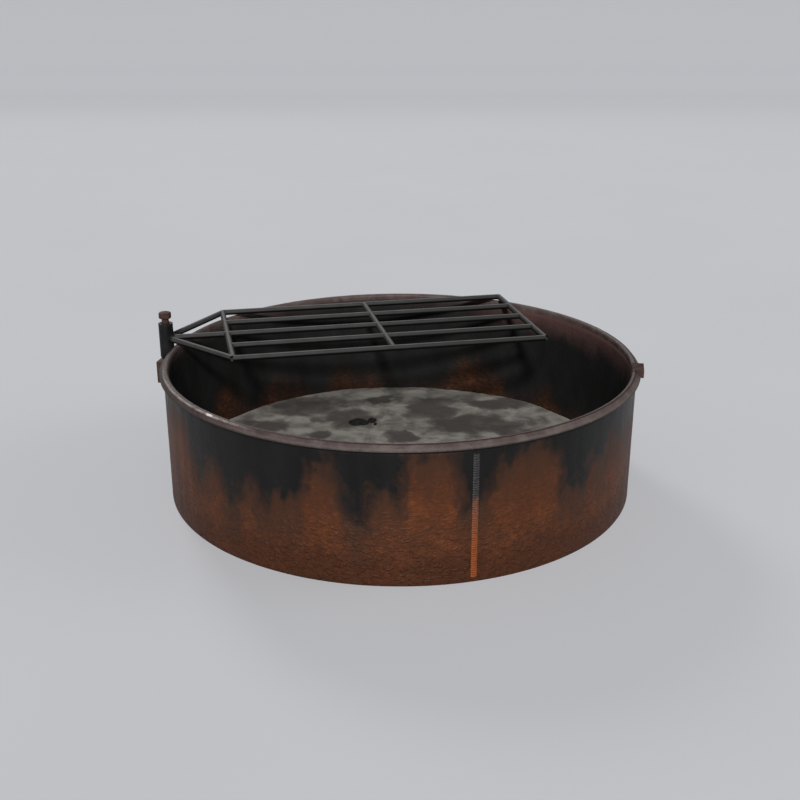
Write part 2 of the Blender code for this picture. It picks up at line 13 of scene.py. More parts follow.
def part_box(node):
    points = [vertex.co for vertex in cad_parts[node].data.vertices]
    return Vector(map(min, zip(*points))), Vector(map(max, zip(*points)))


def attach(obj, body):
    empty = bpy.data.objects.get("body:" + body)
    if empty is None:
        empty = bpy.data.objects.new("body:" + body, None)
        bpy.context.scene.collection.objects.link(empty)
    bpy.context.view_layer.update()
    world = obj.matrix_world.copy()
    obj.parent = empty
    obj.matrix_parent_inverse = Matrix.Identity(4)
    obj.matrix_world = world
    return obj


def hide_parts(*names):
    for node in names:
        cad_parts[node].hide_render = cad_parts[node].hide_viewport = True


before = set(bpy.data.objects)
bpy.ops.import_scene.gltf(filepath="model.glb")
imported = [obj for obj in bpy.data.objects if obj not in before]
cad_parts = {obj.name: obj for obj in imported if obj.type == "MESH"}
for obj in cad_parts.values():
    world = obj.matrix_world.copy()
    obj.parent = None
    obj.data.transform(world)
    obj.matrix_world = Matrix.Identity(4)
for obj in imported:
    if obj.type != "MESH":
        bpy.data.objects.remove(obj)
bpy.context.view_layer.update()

# Camera that matches the photograph's view
CAMERA_PLACE = (0.3290, -2.0204, 0.9298)
CAMERA_TILT = math.radians(69.363)
CAMERA_HEADING = math.radians(9.25)
CAMERA_LENS = 49.23

# Clearance between neighbouring pieces
GAP = 0.0003

# Heights and radii read from the frame
WALL_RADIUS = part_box("ring_wall")[1].x
WALL_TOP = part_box("ring_wall")[1].z
WALL_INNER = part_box("ash_bed")[1].x + GAP
RIM_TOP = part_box("rim_lip")[1].z
LIP_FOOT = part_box("rim_lip")[0].z
LIP_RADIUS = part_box("rim_lip")[1].x
LUG_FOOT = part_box("pivot_lug")[0].z
LUG_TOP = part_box("pivot_lug")[1].z
LUG_OUTER = -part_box("pivot_lug")[0].x
LUG_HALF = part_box("pivot_lug")[1].y
PIVOT_RADIUS = -(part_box("grate_sleeve")[0].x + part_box("grate_sleeve")[1].x) / 2
ROD_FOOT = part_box("rear_side_bar")[0].z
ROD_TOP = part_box("rear_side_bar")[1].z
ROD_RADIUS = (ROD_TOP - ROD_FOOT) / 2

# Lip section
LIP_CREST = 0.0061
LIP_EDGE = 0.0010
LIP_RELIEF = 0.00022

# Pivot bolt and the bores on it
BOLT_RADIUS = 0.00715
BOLT_HOLE_RADIUS = BOLT_RADIUS + GAP
BORE_RADIUS = BOLT_RADIUS + 0.0009
HEAD_WIDTH = 0.0216
HEAD_HEIGHT = 0.0120
NUT_WIDTH = 0.0222
THREAD_PITCH = 0.0020
SLEEVE_RADIUS = (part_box("grate_sleeve")[1].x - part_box("grate_sleeve")[0].x) / 2

# Grate, in its own frame: +X leads from the pivot along the stem, and +Y to the stem's left
GRATE_HEADING = math.radians(21.4)
GRATE_WIDTH = 0.3240
NEAR_REACH = 0.1226
END_REACH = PIVOT_RADIUS + 0.2717
MID_REACH = (NEAR_REACH + END_REACH) / 2
BEAD = 0.0016
BEAD_SINK = 0.0009

# Block over the lip
BLOCK_AZIMUTH = math.radians(-1.2)
BLOCK_WIDTH = 0.0470
BLOCK_DEPTH = 0.0216
BLOCK_HEIGHT = 0.0141
BLOCK_OUTER = 0.4702
BLOCK_TOP = RIM_TOP + 0.0017
BLOCK_BEAD = 0.0013

# Outer radii of the washers, and the rounding of the sleeve's and the block's edges
SPRING_RADIUS = 0.0116
THRUST_RADIUS = 0.0145
EDGE = 0.0008

# Height of the ash over the ground
ASH_LEVEL = 0.0240

# Top of the listed soot lines, and how far noise moves them sideways, in degrees
LINE_TOP = 0.26
LINE_WANDER = 3.24

# Fineness of the turned pieces
RING_STEPS = 384
ROUND_STEPS = 72
ROD_SIDES = 32

UP = Vector((0.0, 0.0, 1.0))
OUT = Vector((1.0, 0.0, 0.0))
LEFT = Vector((0.0, 1.0, 0.0))
ON_PIVOT = Matrix.Translation(-OUT * PIVOT_RADIUS)
HALF_TURN = Matrix.Rotation(math.pi, 4, "Z")


# Mesh helpers


def polar(radius, angle, height):
    return Vector((radius * math.cos(angle), radius * math.sin(angle), height))


def spread(low, high, count):
    """Give evenly spaced values, both ends included."""
    return [low + (high - low) * i / (count - 1) for i in range(count)]


def circle(count):
    """Give evenly spaced angles all the way round."""
    return [2 * math.pi * i / count for i in range(count)]


def arc(middle, radius, start, stop, count):
    """Give the points of an arc in a section, with both ends included."""
    x, z = middle
    return [(x + radius * math.cos(turn), z + radius * math.sin(turn)) for turn in spread(start, stop, count)]


def levels(node):
    """Give the heights of a node's foot and top."""
    low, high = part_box(node)
    return low.z, high.z


def bridge(mesh, loops, slots=None, closed=True):
    """Join a run of point loops, or of open rows, with faces."""
    for first, second in zip(loops, loops[1:]):
        for i in range(len(first) if closed else len(first) - 1):
            j = (i + 1) % len(first)
            face = mesh.faces.new((first[i], first[j], second[j], second[i]))
            if slots:
                face.material_index = slots[i]


def add_skin(mesh, rings, closed=False, caps=True, slots=None):
    """Skin a run of point rings, capped at both ends unless it closes on itself."""
    loops = [[mesh.verts.new(point) for point in ring] for ring in rings]
    bridge(mesh, loops + loops[:1] if closed else loops, slots)
    if caps and not closed:
        mesh.faces.new(reversed(loops[0]))
        mesh.faces.new(loops[-1])
    return loops


def skin(rings, closed=False, slots=None):
    mesh = bmesh.new()
    add_skin(mesh, rings, closed, slots=slots)
    return mesh


def turned(outline, steps, slots=None, start=0.0, sweep=2 * math.pi):
    """Turn a closed (radius, height) outline about Z, all the way or over a sweep."""
    closed = sweep >= 2 * math.pi
    angles = [start + sweep * i / steps for i in range(steps if closed else steps + 1)]
    rings = [[polar(radius, angle, height) for radius, height in outline] for angle in angles]
    return skin(rings, closed, slots)


def round_corners(corners, edge, steps=4):
    """Give quarter circles at corners, each the middle of its arc and the angle it starts at."""
    outline = []
    for x, z, first in corners:
        outline += arc((x, z), edge, math.radians(first), math.radians(first + 90.0), steps + 1)
    return outline


def rounded_outline(inner, outer, foot, top, edge, steps=4):
    """Give the outline of a turned ring with its four edges rounded."""
    corners = (
        (outer - edge, foot + edge, -90.0), (outer - edge, top - edge, 0.0),
        (inner + edge, top - edge, 90.0), (inner + edge, foot + edge, 180.0),
    )
    return round_corners(corners, edge, steps)


def roughen(mesh, amount, size, octaves=3, seed=0.0, keep=None):
    """Push the points in and out along their normals by smooth noise."""
    mesh.normal_update()
    shift = Vector((seed, 1.7 * seed, -2.3 * seed))
    for corner in mesh.verts:
        if keep and keep(corner.co):
            continue
        push = noise.fractal(corner.co / size + shift, 0.8, 2.0, octaves)
        corner.co += corner.normal * amount * push


def add_object(name, data):
    item = bpy.data.objects.new(name, data)
    bpy.context.scene.collection.objects.link(item)
    return item


def add_mesh(name, mesh, *materials):
    """Turn a finished bmesh into a smooth object."""
    data = bpy.data.meshes.new(name)
    mesh.to_mesh(data)
    mesh.free()
    data.shade_smooth()
    for material in materials:
        data.materials.append(material)
    return add_object(name, data)


def add_piece(name, mesh, body, node, slot, crease, *materials):
    """Turn a finished bmesh into a piece that rides on a body and stands for a node.

    Its edges look sharp where its faces turn by more than the crease, in degrees.
    """
    bmesh.ops.recalc_face_normals(mesh, faces=mesh.faces)
    piece = add_mesh(name, mesh, *materials)
    piece.data.set_sharp_from_angle(angle=math.radians(crease))
    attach(piece, body)
    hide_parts(node)
    return piece


def add_bead(mesh, path, radius):
    """Lay a rippled weld bead along a path, drawn in at both ends."""
    ripples = 9
    last = len(path) - 1
    across = (path[1] - path[0]).orthogonal().normalized()
    rings = []
    for i, point in enumerate(path):
        ahead = (path[min(i + 1, last)] - path[max(i - 1, 0)]).normalized()
        across = (across - ahead * across.dot(ahead)).normalized()
        rise = ahead.cross(across)
        share = i / last
        size = radius * min(1.0, 0.45 + 3.5 * min(share, 1.0 - share))
        size *= 1.0 - 0.10 * abs(math.sin(math.pi * ripples * share))
        rings.append([point + (across * math.cos(t) + rise * math.sin(t)) * size for t in circle(10)])
    add_skin(mesh, rings)


# Material helpers


def tone(red, green, blue):
    """Give a display colour, 0 to 255, as the linear colour that shaders take."""
    linear = []
    for value in (red, green, blue):
        share = value / 255
        linear.append(share / 12.92 if share <= 0.04045 else ((share + 0.055) / 1.055) ** 2.4)
    return (*linear, 1.0)


class Look:
    """A procedural material being put together, in the piece's own rest coordinates."""

    def __init__(self, name):
        self.material = bpy.data.materials.new(name)
        self.material.use_nodes = True
        self.tree = self.material.node_tree
        self.place = self.add("ShaderNodeTexCoord").outputs["Object"]
        self.x, self.y, self.height = self.add("ShaderNodeSeparateXYZ", [self.place]).outputs

    def add(self, kind, values=(), **settings):
        """Add a node, with values or links for its inputs, in order or by name."""
        node = self.tree.nodes.new(kind)
        for name, value in settings.items():
            setattr(node, name, value)
        for key, value in values.items() if isinstance(values, dict) else enumerate(values):
            self.feed(node.inputs[key], value)
        return node

    def feed(self, socket, value):
        if isinstance(value, bpy.types.NodeSocket):
            self.tree.links.new(value, socket)
        else:
            socket.default_value = value

    def math(self, operation, *values):
        return self.add("ShaderNodeMath", values, operation=operation).outputs[0]

    def plus(self, first, second):
        return self.math("ADD", first, second)

    def times(self, first, second):
        return self.math("MULTIPLY", first, second)

    def rest(self, share):
        """Give what a share leaves of 1."""
        return self.math("SUBTRACT", 1.0, share)

    def away(self, value, middle):
        """Give how far a value is from the middle, either way."""
        return self.math("ABSOLUTE", self.math("SUBTRACT", value, middle))

    def vector(self, operation, *values):
        node = self.add("ShaderNodeVectorMath", values, operation=operation)
        return node.outputs["Value" if operation == "LENGTH" else "Vector"]

    def noise(self, size, detail=4.0, roughness=0.5, distortion=0.0, tall=1.0, shift=0.0):
        """Give smooth noise whose blots are about a size across, and taller by a factor."""
        place = self.vector("MULTIPLY", self.place, (1.0, 1.0, 1.0 / tall))
        if shift:
            place = self.vector("ADD", place, (shift, -shift, 2 * shift))
        values = {"Vector": place, "Scale": 1.0 / size, "Detail": detail}
        values.update({"Roughness": roughness, "Distortion": distortion})
        return self.add("ShaderNodeTexNoise", values).outputs[0]

    def span(self, value, low, high, to_low, to_high, way="LINEAR"):
        """Carry one range of values over to another, and hold it at both ends."""
        values = (value, low, high, to_low, to_high)
        return self.add("ShaderNodeMapRange", values, interpolation_type=way).outputs[0]

    def band(self, value, low, high):
        """Rise smoothly from 0 at low to 1 at high."""
        return self.span(value, low, high, 0.0, 1.0, "SMOOTHSTEP")

    def strip(self, value, low, full, fading, high):
        """Rise smoothly from 0 at low to 1 at full, and fall from fading to 0 at high."""
        return self.times(self.band(value, low, full), self.band(value, high, fading))

    def swing(self, value, reach):
        """Carry noise from 0 to 1 over to a reach on either side of zero."""
        return self.span(value, 0.0, 1.0, -reach, reach)

    def ramp(self, value, *stops):
        node = self.add("ShaderNodeValToRGB", [value])
        ramp = node.color_ramp
        while len(ramp.elements) < len(stops):
            ramp.elements.new(0.5)
        for element, (position, colour) in zip(ramp.elements, stops):
            element.position = position
            element.color = colour
        return node.outputs[0]

    def mottle(self, value, dark, pale):
        return self.ramp(value, (0.35, dark), (0.65, pale))

    def paint(self, colour, mask, paint, share=1.0):
        """Lay paint over a colour where the mask is 1, at up to a share of full strength."""
        mask = self.times(mask, share) if share < 1.0 else mask
        return self.add("ShaderNodeMix", {0: mask, 6: colour, 7: paint}, data_type="RGBA").outputs[2]

    def azimuth(self):
        """Give the direction from the ring's middle in degrees, from -180 to 180."""
        return self.span(self.math("ARCTAN2", self.y, self.x), -math.pi, math.pi, -180.0, 180.0)

    def radius(self):
        return self.vector("LENGTH", self.vector("MULTIPLY", self.place, (1.0, 1.0, 0.0)))

    def line(self, azimuth, points):
        """Read a line given as (degrees, millimetres) points, as a height in metres."""
        node = self.add("ShaderNodeFloatCurve")
        curve = node.mapping.curves[0]
        while len(curve.points) < len(points):
            curve.points.new(0.5, 0.5)
        for point, (degrees, height) in zip(curve.points, points):
            point.location = ((degrees + 180.0) / 360.0, height / 1000 / LINE_TOP)
            point.handle_type = "AUTO_CLAMPED"
        node.mapping.update()
        self.feed(node.inputs["Value"], self.span(azimuth, -180.0, 180.0, 0.0, 1.0))
        return self.span(node.outputs[0], 0.0, 1.0, 0.0, LINE_TOP)

    def bump(self, height, distance, below=None):
        values = {"Height": height, "Distance": distance}
        if below:
            values["Normal"] = below
        return self.add("ShaderNodeBump", values).outputs[0]

    def finish(self, colour, roughness, normal, gloss):
        values = {"Base Color": colour, "Roughness": roughness, "Normal": normal, "Specular IOR Level": gloss}
        for name, value in values.items():
            self.feed(self.tree.nodes["Principled BSDF"].inputs[name], value)
        return self.material


# Where the flames' soot gives way to rust, as (azimuth in degrees, height in millimetres)
OUTSIDE_LINE = (
    (-180, 170), (-170, 205), (-160, 190), (-153, 215), (-149, 235), (-146, 205), (-144, 240),
    (-138.5, 235), (-136, 180), (-133, 150), (-130, 134), (-127.5, 140), (-126, 172), (-123, 140),
    (-121, 108), (-119, 98), (-117, 145), (-114, 158), (-111.5, 130), (-108, 136), (-103, 144),
    (-101, 160), (-100, 208), (-97, 218), (-94.5, 206), (-93, 165), (-91, 118), (-89.5, 106),
    (-88, 140), (-85.5, 170), (-82.5, 172), (-80.5, 168), (-79.6, 235), (-78, 250), (-71.5, 248),
    (-69.5, 215), (-68, 160), (-65.5, 142), (-63, 150), (-61.5, 190), (-59, 212), (-55, 222),
    (-51, 224), (-47, 230), (-45.3, 218), (-44.5, 150), (-42, 128), (-38.5, 130), (-36, 148),
    (-33, 175), (-29, 168), (-25, 190), (-21, 182), (-14, 182), (-6, 198), (3, 150), (11, 185),
    (19, 128), (26, 140), (33, 210), (39, 165), (47, 118), (56, 158), (63, 225), (70, 180), (78, 122),
    (86, 150), (94, 205), (101, 160), (109, 132), (118, 190), (125, 232), (133, 165), (141, 120),
    (149, 150), (158, 212), (166, 150), (173, 135), (180, 170),
)
INSIDE_LINE = (
    (-180, 80), (-170, 30), (-158, 62), (-146, 95), (-135, 40), (-121, 28), (-108, 86), (-97, 60),
    (-88, 25), (-74, 34), (-63, 100), (-52, 50), (-40, 30), (-27, 70), (-14, 82), (-3, 32), (12, 24),
    (27, 28), (42, 40), (48, 68), (52, 78), (57, 55), (61, 30), (66, 70), (70, 82), (74, 94), (78, 118),
    (82, 90), (86, 50), (92, 44), (98, 26), (104, 30), (108, 70), (113, 70), (117, 90), (121, 60),
    (125, 30), (130, 50), (134, 68), (138, 80), (143, 66), (148, 40), (152, 62), (156, 86), (160, 108),
    (165, 80), (170, 40), (175, 60), (180, 80),
)


def rust_colour(look, dark, middle, bright, grain_size):
    """Mottle rust from dark scale to bright bloom, with fine grain over broad clouds."""
    clouds = look.noise(0.060, 3.0, 0.55, 0.4)
    grain = look.noise(grain_size, 5.0, 0.62, 0.6, tall=0.5)
    mixed = look.plus(look.times(clouds, 0.40), look.times(grain, 0.60))
    return look.ramp(mixed, (0.32, dark), (0.50, middle), (0.68, bright))


def height_over(look, line, noises, up):
    """Give the height over a listed line, whose edges noise makes ragged both ways."""
    sideways, ragged, streaks = noises
    moved = look.plus(look.azimuth(), look.swing(sideways, LINE_WANDER))
    wander = look.plus(look.swing(ragged, up), look.swing(streaks, up / 2))
    return look.plus(look.math("SUBTRACT", look.height, look.line(moved, line)), wander)


def soot_share(look, line, noises, up, low, high):
    """Give soot with a smoky edge, blurred sideways by reading its line at four places."""
    total = 0.0
    for degrees in (-1.512, -0.504, 0.504, 1.512):
        sideways = look.plus(noises[0], degrees / (2 * LINE_WANDER))
        above = height_over(look, line, (sideways, *noises[1:]), up)
        total = look.math("MULTIPLY_ADD", look.band(above, low, high), 0.25, total)
    return total


def outside_material():
    look = Look("wall_outside")
    streaks = look.noise(0.020, 2.0, 0.5, tall=9.0)
    ragged = look.noise(0.030, 5.0, 0.6, 0.3, tall=1.6, shift=0.7)
    sideways = look.noise(0.026, 4.0, 0.6, 0.4, tall=1.2, shift=2.3)
    noises, up = (sideways, ragged, streaks), 0.050
    above = height_over(look, OUTSIDE_LINE, noises, up)
    soot = soot_share(look, OUTSIDE_LINE, noises, up, -0.024, 0.016)
    rust = rust_colour(look, tone(54, 30, 17), tone(75, 40, 20), tone(98, 52, 25), 0.0085)
    scaly = look.band(look.plus(look.height, look.swing(ragged, 0.04)), 0.070, 0.035)
    rust = look.paint(rust, scaly, tone(60, 29, 10), 0.62)
    brown = look.paint(rust, look.band(above, -0.110, -0.006), tone(56, 34, 22))
    clouds = look.noise(0.050, 4.0, 0.6, tall=3.0, shift=0.3)
    black = look.mottle(clouds, tone(13, 13, 13), tone(20, 20, 20))
    haze = look.times(look.band(above, 0.060, 0.0), look.band(sideways, 0.48, 0.66))
    black = look.paint(black, haze, tone(62, 40, 28), 0.35)
    wrinkle = look.noise(0.0115, 3.0, 0.5, 0.8, tall=0.65)
    creases = look.band(look.away(wrinkle, 0.5), 0.0, 0.13)
    crust = look.math("MULTIPLY_ADD", wrinkle, 1.6, look.times(creases, 0.20))
    bare = look.times(look.rest(soot), look.band(look.height, 0.17, 0.03))
    furrows = look.times(look.rest(creases), bare)
    brown = look.paint(brown, furrows, tone(46, 26, 14), 0.26)
    colour = look.paint(brown, soot, black)
    relief = look.times(crust, look.span(bare, 0.0, 1.0, 0.06, 1.0))
    normal = look.bump(look.noise(0.0024, 3.0, 0.6), 0.0003, below=look.bump(relief, 0.0042))
    sheen = look.span(streaks, 0.3, 0.7, 0.44, 0.34)
    roughness = look.plus(sheen, look.span(soot, 0.0, 1.0, 0.12, 0.02))
    return look.finish(colour, roughness, normal, 0.16)


def inside_material():
    look = Look("wall_inside")
    streaks = look.noise(0.022, 3.0, 0.5, tall=6.0)
    ragged = look.noise(0.040, 4.0, 0.6, 0.3, tall=1.3, shift=1.1)
    sideways = look.noise(0.030, 4.0, 0.6, 0.4, tall=1.2, shift=2.3)
    soot = soot_share(look, INSIDE_LINE, (sideways, ragged, streaks), 0.040, -0.050, 0.022)
    rust = rust_colour(look, tone(22, 15, 11), tone(44, 27, 18), tone(72, 43, 27), 0.011)
    black = look.mottle(look.noise(0.080, 4.0, 0.6, tall=2.0), tone(19, 19, 19), tone(28, 28, 28))
    colour = look.paint(rust, soot, black)
    fade = look.plus(look.height, look.swing(ragged, 0.022))
    colour = look.paint(colour, look.band(fade, 0.212, 0.250), tone(48, 40, 38))
    right = look.strip(look.azimuth(), -72.0, -36.0, 57.6, 86.4)
    bare = look.times(look.band(fade, 0.185, 0.245), right)
    colour = look.paint(colour, bare, tone(78, 57, 54))
    normal = look.bump(look.noise(0.0065, 5.0, 0.6, 0.6), 0.0012)
    return look.finish(colour, look.span(streaks, 0.3, 0.7, 0.66, 0.54), normal, 0.1)


def lip_material():
    """Give the lip bands of colour by radius, and a painted highlight along the crest at the front left."""
    look = Look("lip_steel")
    azimuth = look.azimuth()
    patches = look.noise(0.035, 4.0, 0.6, 0.5)
    colour = look.ramp(patches, (0.32, tone(62, 50, 48)), (0.50, tone(74, 62, 60)), (0.68, tone(86, 76, 72)))
    across = look.plus(look.radius(), look.swing(look.noise(0.012, 4.0, 0.6), 0.0014))
    crest = look.strip(across, 0.4500, 0.4515, 0.4536, 0.4546)
    colour = look.paint(colour, crest, tone(96, 87, 84), 0.75)
    line = look.strip(across, 0.4540, 0.4549, 0.4562, 0.4578)
    colour = look.paint(colour, line, tone(46, 32, 31), 0.9)
    # Painted highlight: a pale band on the flare's outer edge stands for light caught by the edge's rounding.
    # On the front left it is left off, and that side's outer flare is painted darker as painted shade.
    shaded_side = look.band(azimuth, -117.0, -135.0)
    edge_highlight = look.times(look.strip(across, 0.4606, 0.4622, 0.4634, 0.4646), look.rest(shaded_side))
    colour = look.paint(colour, edge_highlight, tone(88, 84, 79), 0.30)
    # Painted shade: the outermost band, where the edge turns under, is painted dark.
    colour = look.paint(colour, look.band(across, 0.4638, 0.4650), tone(40, 37, 35), 0.75)
    shaded = look.times(shaded_side, look.band(across, 0.4575, 0.4605))
    colour = look.paint(colour, shaded, tone(44, 38, 37), 0.6)
    # Painted highlight: a pale band along the crest on the front left, broken up by noise, with a brighter
    # painted glint at its peak.
    highlight_sector = look.strip(azimuth, -172.8, -144.0, -123.12, -111.6)
    highlight_band = look.times(look.strip(across, 0.4556, 0.4570, 0.4586, 0.4600), highlight_sector)
    highlight_breaks = look.noise(0.010, 4.0, 0.6, 0.5, shift=1.4)
    painted_highlight = look.times(highlight_band, look.span(highlight_breaks, 0.35, 0.65, 0.35, 0.95))
    colour = look.paint(colour, painted_highlight, tone(146, 137, 133))
    spot = look.times(highlight_band, look.band(look.away(azimuth, -125.496), 1.512, 0.288))
    colour = look.paint(colour, spot, tone(206, 197, 191))
    normal = look.bump(look.noise(0.0110, 3.0, 0.55, 0.5), 0.0011)
    normal = look.bump(look.noise(0.0020, 3.0, 0.6), 0.0002, below=normal)
    return look.finish(colour, look.span(patches, 0.3, 0.7, 0.46, 0.58), normal, 0.18)


def rust_spots(look, colour, paint, share):
    spots = look.band(look.noise(0.018, 5.0, 0.65, 0.5, shift=2.0), 0.62, 0.74)
    return look.paint(colour, spots, paint, share)


def sleeve_material():
    """Give fire-blackened steel with a few rusty patches."""
    look = Look("sleeve_steel")
    patches = look.noise(0.030, 4.0, 0.6, 0.4)
    colour = look.mottle(patches, tone(13, 14, 14), tone(22, 23, 23))
    colour = rust_spots(look, colour, tone(52, 38, 30), 0.35)
    normal = look.bump(look.noise(0.0030, 4.0, 0.6), 0.0003)
    return look.finish(colour, look.span(patches, 0.3, 0.7, 0.42, 0.56), normal, 0.18)


def grate_material():
    """Give dark steel, painted black underneath and by the sleeve as painted shade, and pale on top as a
    painted highlight.
    """
    look = Look("grate_steel")
    normals = look.add("ShaderNodeNewGeometry").outputs["Normal"]
    facing = look.add("ShaderNodeSeparateXYZ", [normals]).outputs["Z"]
    patches = look.noise(0.030, 4.0, 0.6, 0.4)
    colour = look.mottle(patches, tone(46, 47, 46), tone(55, 56, 55))
    colour = look.paint(colour, look.band(look.x, -0.25, 0.30), tone(40, 40, 39))
    # Painted highlight: faces that look up are painted pale.
    painted_top_highlight = look.times(look.band(facing, 0.84, 0.97), look.span(patches, 0.3, 0.7, 0.55, 0.85))
    colour = look.paint(colour, painted_top_highlight, tone(100, 100, 98))
    colour = rust_spots(look, colour, tone(58, 44, 34), 0.30)
    # Painted shade: the rods darken towards the pivot, by the sleeve.
    pivot_shade = look.band(look.x, 0.020 - PIVOT_RADIUS, 0.012 - PIVOT_RADIUS)
    colour = look.paint(colour, pivot_shade, tone(17, 18, 18))
    # Painted shade: faces that look down are painted near black.
    colour = look.paint(colour, look.band(facing, 0.08, -0.14), tone(7, 7, 7))
    normal = look.bump(look.noise(0.0030, 4.0, 0.6), 0.0003)
    return look.finish(colour, look.span(patches, 0.3, 0.7, 0.58, 0.72), normal, 0.15)


def rust_material():
    look = Look("rust_steel")
    patches = look.noise(0.014, 5.0, 0.6, 0.5)
    colour = look.ramp(patches, (0.32, tone(40, 26, 22)), (0.50, tone(56, 36, 31)), (0.70, tone(76, 54, 47)))
    return look.finish(colour, 0.60, look.bump(look.noise(0.0028, 5.0, 0.62, 0.5), 0.0007), 0.25)


def soot_and_shade_weld_material():
    # Sooty weld, painted darker than soot alone as painted shade for the shade under the lip.
    look = Look("soot_weld")
    colour = look.mottle(look.noise(0.020, 4.0, 0.6), tone(14, 14, 14), tone(24, 22, 21))
    return look.finish(colour, 0.7, look.bump(look.noise(0.0030, 4.0, 0.6), 0.0004), 0.2)


def seam_material():
    """Give a bead that is orange at the ground, tan above it, and silver where soot covers the wall."""
    look = Look("seam_bead")
    grain = look.noise(0.0045, 4.0, 0.6)
    silver = look.mottle(grain, tone(26, 25, 25), tone(54, 52, 52))
    tan = look.mottle(grain, tone(82, 47, 31), tone(112, 64, 41))
    orange = look.mottle(grain, tone(100, 47, 10), tone(126, 60, 13))
    colour = look.paint(tan, look.band(look.height, 0.135, 0.060), orange)
    ragged = look.plus(look.height, look.swing(look.noise(0.012, 4.0), 0.02))
    colour = look.paint(colour, look.band(ragged, 0.130, 0.165), silver)
    colour = look.paint(colour, look.band(look.height, 0.012, 0.004), tone(96, 46, 14))
    return look.finish(colour, 0.5, look.bump(look.noise(0.0020, 4.0, 0.6), 0.0003), 0.25)


# Dark drifts in the ash, as (x, y, half length, half width) in millimetres
DARK_DRIFTS = (
    (-330, 150, 62, 42), (-265, 285, 80, 60), (-155, 222, 66, 56), (20, 305, 55, 62),
    (140, 230, 110, 55), (165, 365, 75, 35), (-190, 115, 30, 25), (-20, 135, 30, 22),
    (-100, 350, 32, 18), (20, -20, 90, 60), (240, 20, 70, 55), (-220, -80, 75, 55), (90, -210, 80, 65),
    (-130, -270, 70, 50), (290, -180, 60, 75), (-330, -200, 45, 60), (330, 190, 40, 50),
    (0, -370, 80, 35),
)


def ash_material():
    """Give pale ash with dark drifts, whose outlines noise bends."""
    look = Look("ash")
    swirl = look.add("ShaderNodeTexNoise", {"Vector": look.place, "Scale": 16.0, "Detail": 4.0})
    bend = look.vector("MULTIPLY_ADD", swirl.outputs["Color"], (0.110, 0.110, 0.0), (-0.055, -0.055, 0.0))
    bent = look.vector("ADD", look.place, bend)
    dark = 0.0
    for x, y, half_length, half_width in DARK_DRIFTS:
        offset = look.vector("SUBTRACT", bent, (x / 1000, y / 1000, 0.0))
        offset = look.vector("MULTIPLY", offset, (1000 / half_length, 1000 / half_width, 0.0))
        dark = look.math("MAXIMUM", look.band(look.vector("LENGTH", offset), 1.35, 0.65), dark)
    clouds = look.span(look.noise(0.045, 4.0, 0.55, 0.4, shift=0.4), 0.3, 0.7, 0.30, 1.0)
    pale = look.math("SUBTRACT", clouds, look.times(dark, 0.62))
    colour = look.ramp(pale, (0.0, tone(70, 66, 63)), (0.35, tone(86, 82, 78)), (0.80, tone(128, 125, 118)))
    specks = look.band(look.noise(0.0028, 3.0, 0.7, shift=3.0), 0.60, 0.75)
    colour = look.paint(colour, specks, tone(62, 59, 55), 0.25)
    return look.finish(colour, 0.95, look.bump(look.noise(0.0040, 5.0, 0.65), 0.0008), 0.1)


def char_material():
    look = Look("charcoal")
    values = {"Vector": look.place, "Scale": 1.0 / 0.0065}
    cracks = look.add("ShaderNodeTexVoronoi", values, feature="DISTANCE_TO_EDGE").outputs["Distance"]
    colour = look.mottle(look.noise(0.008, 4.0, 0.6), tone(16, 17, 16), tone(30, 30, 28))
    colour = look.paint(colour, look.band(cracks, 0.10, 0.0), tone(9, 9, 9))
    dust = look.band(look.noise(0.010, 5.0, 0.7, shift=1.0), 0.60, 0.74)
    colour = look.paint(colour, dust, tone(80, 77, 72), 0.35)
    return look.finish(colour, 0.75, look.bump(look.band(cracks, 0.0, 0.12), 0.0010), 0.2)


# Wall and rim


def lip_crown(clearance=0.0, start=math.pi, stop=-math.pi / 2):
    """Give the lip's upper outline: over the crest, down the flare and round the outer edge."""
    crest = Vector((WALL_INNER + LIP_CREST, RIM_TOP - LIP_CREST))
    edge = Vector((LIP_RADIUS - LIP_EDGE, LIP_FOOT + LIP_EDGE))
    run = edge - crest
    change = math.atan2(run.y, run.x) + math.acos((LIP_CREST - LIP_EDGE) / run.length)
    outline = arc(crest, LIP_CREST + clearance, start, change, 19)
    ending = arc(edge, LIP_EDGE + clearance, change, stop, 9)
    first, last = Vector(outline[-1]), Vector(ending[0])
    return outline + [tuple(first.lerp(last, share)) for share in spread(0.0, 1.0, 8)[1:-1]] + ending


def build_wall():
    edge = 0.0004
    rows = spread(edge, WALL_TOP - edge, 26)
    outline = [(WALL_INNER + edge, 0.0), (WALL_RADIUS - edge, 0.0)]
    outline += [(WALL_RADIUS, height) for height in rows]
    outline += [(WALL_RADIUS - edge, WALL_TOP), (WALL_INNER + edge, WALL_TOP)]
    outline += [(WALL_INNER, height) for height in reversed(rows)]
    slots = [0] * (len(rows) + 2) + [1] * (len(rows) + 2)
    mesh = turned(outline, RING_STEPS, slots)
    roughen(mesh, 0.00018, 0.060, 2, 0.3)
    materials = outside_material(), inside_material()
    add_piece("wall_plate", mesh, "ring", "ring_wall", "wall_steel", 60.0, *materials)


def build_lip():
    outline = lip_crown() + [(r, LIP_FOOT) for r in spread(LIP_RADIUS - 2 * LIP_EDGE, WALL_INNER, 6)]
    mesh = turned(outline, RING_STEPS)
    roughen(mesh, LIP_RELIEF, 0.014, 3, 1.9, keep=lambda point: point.z < LIP_FOOT + LIP_EDGE / 2)
    add_piece("lip_flare", mesh, "ring", "rim_lip", "lip_steel", 60.0, lip_material())


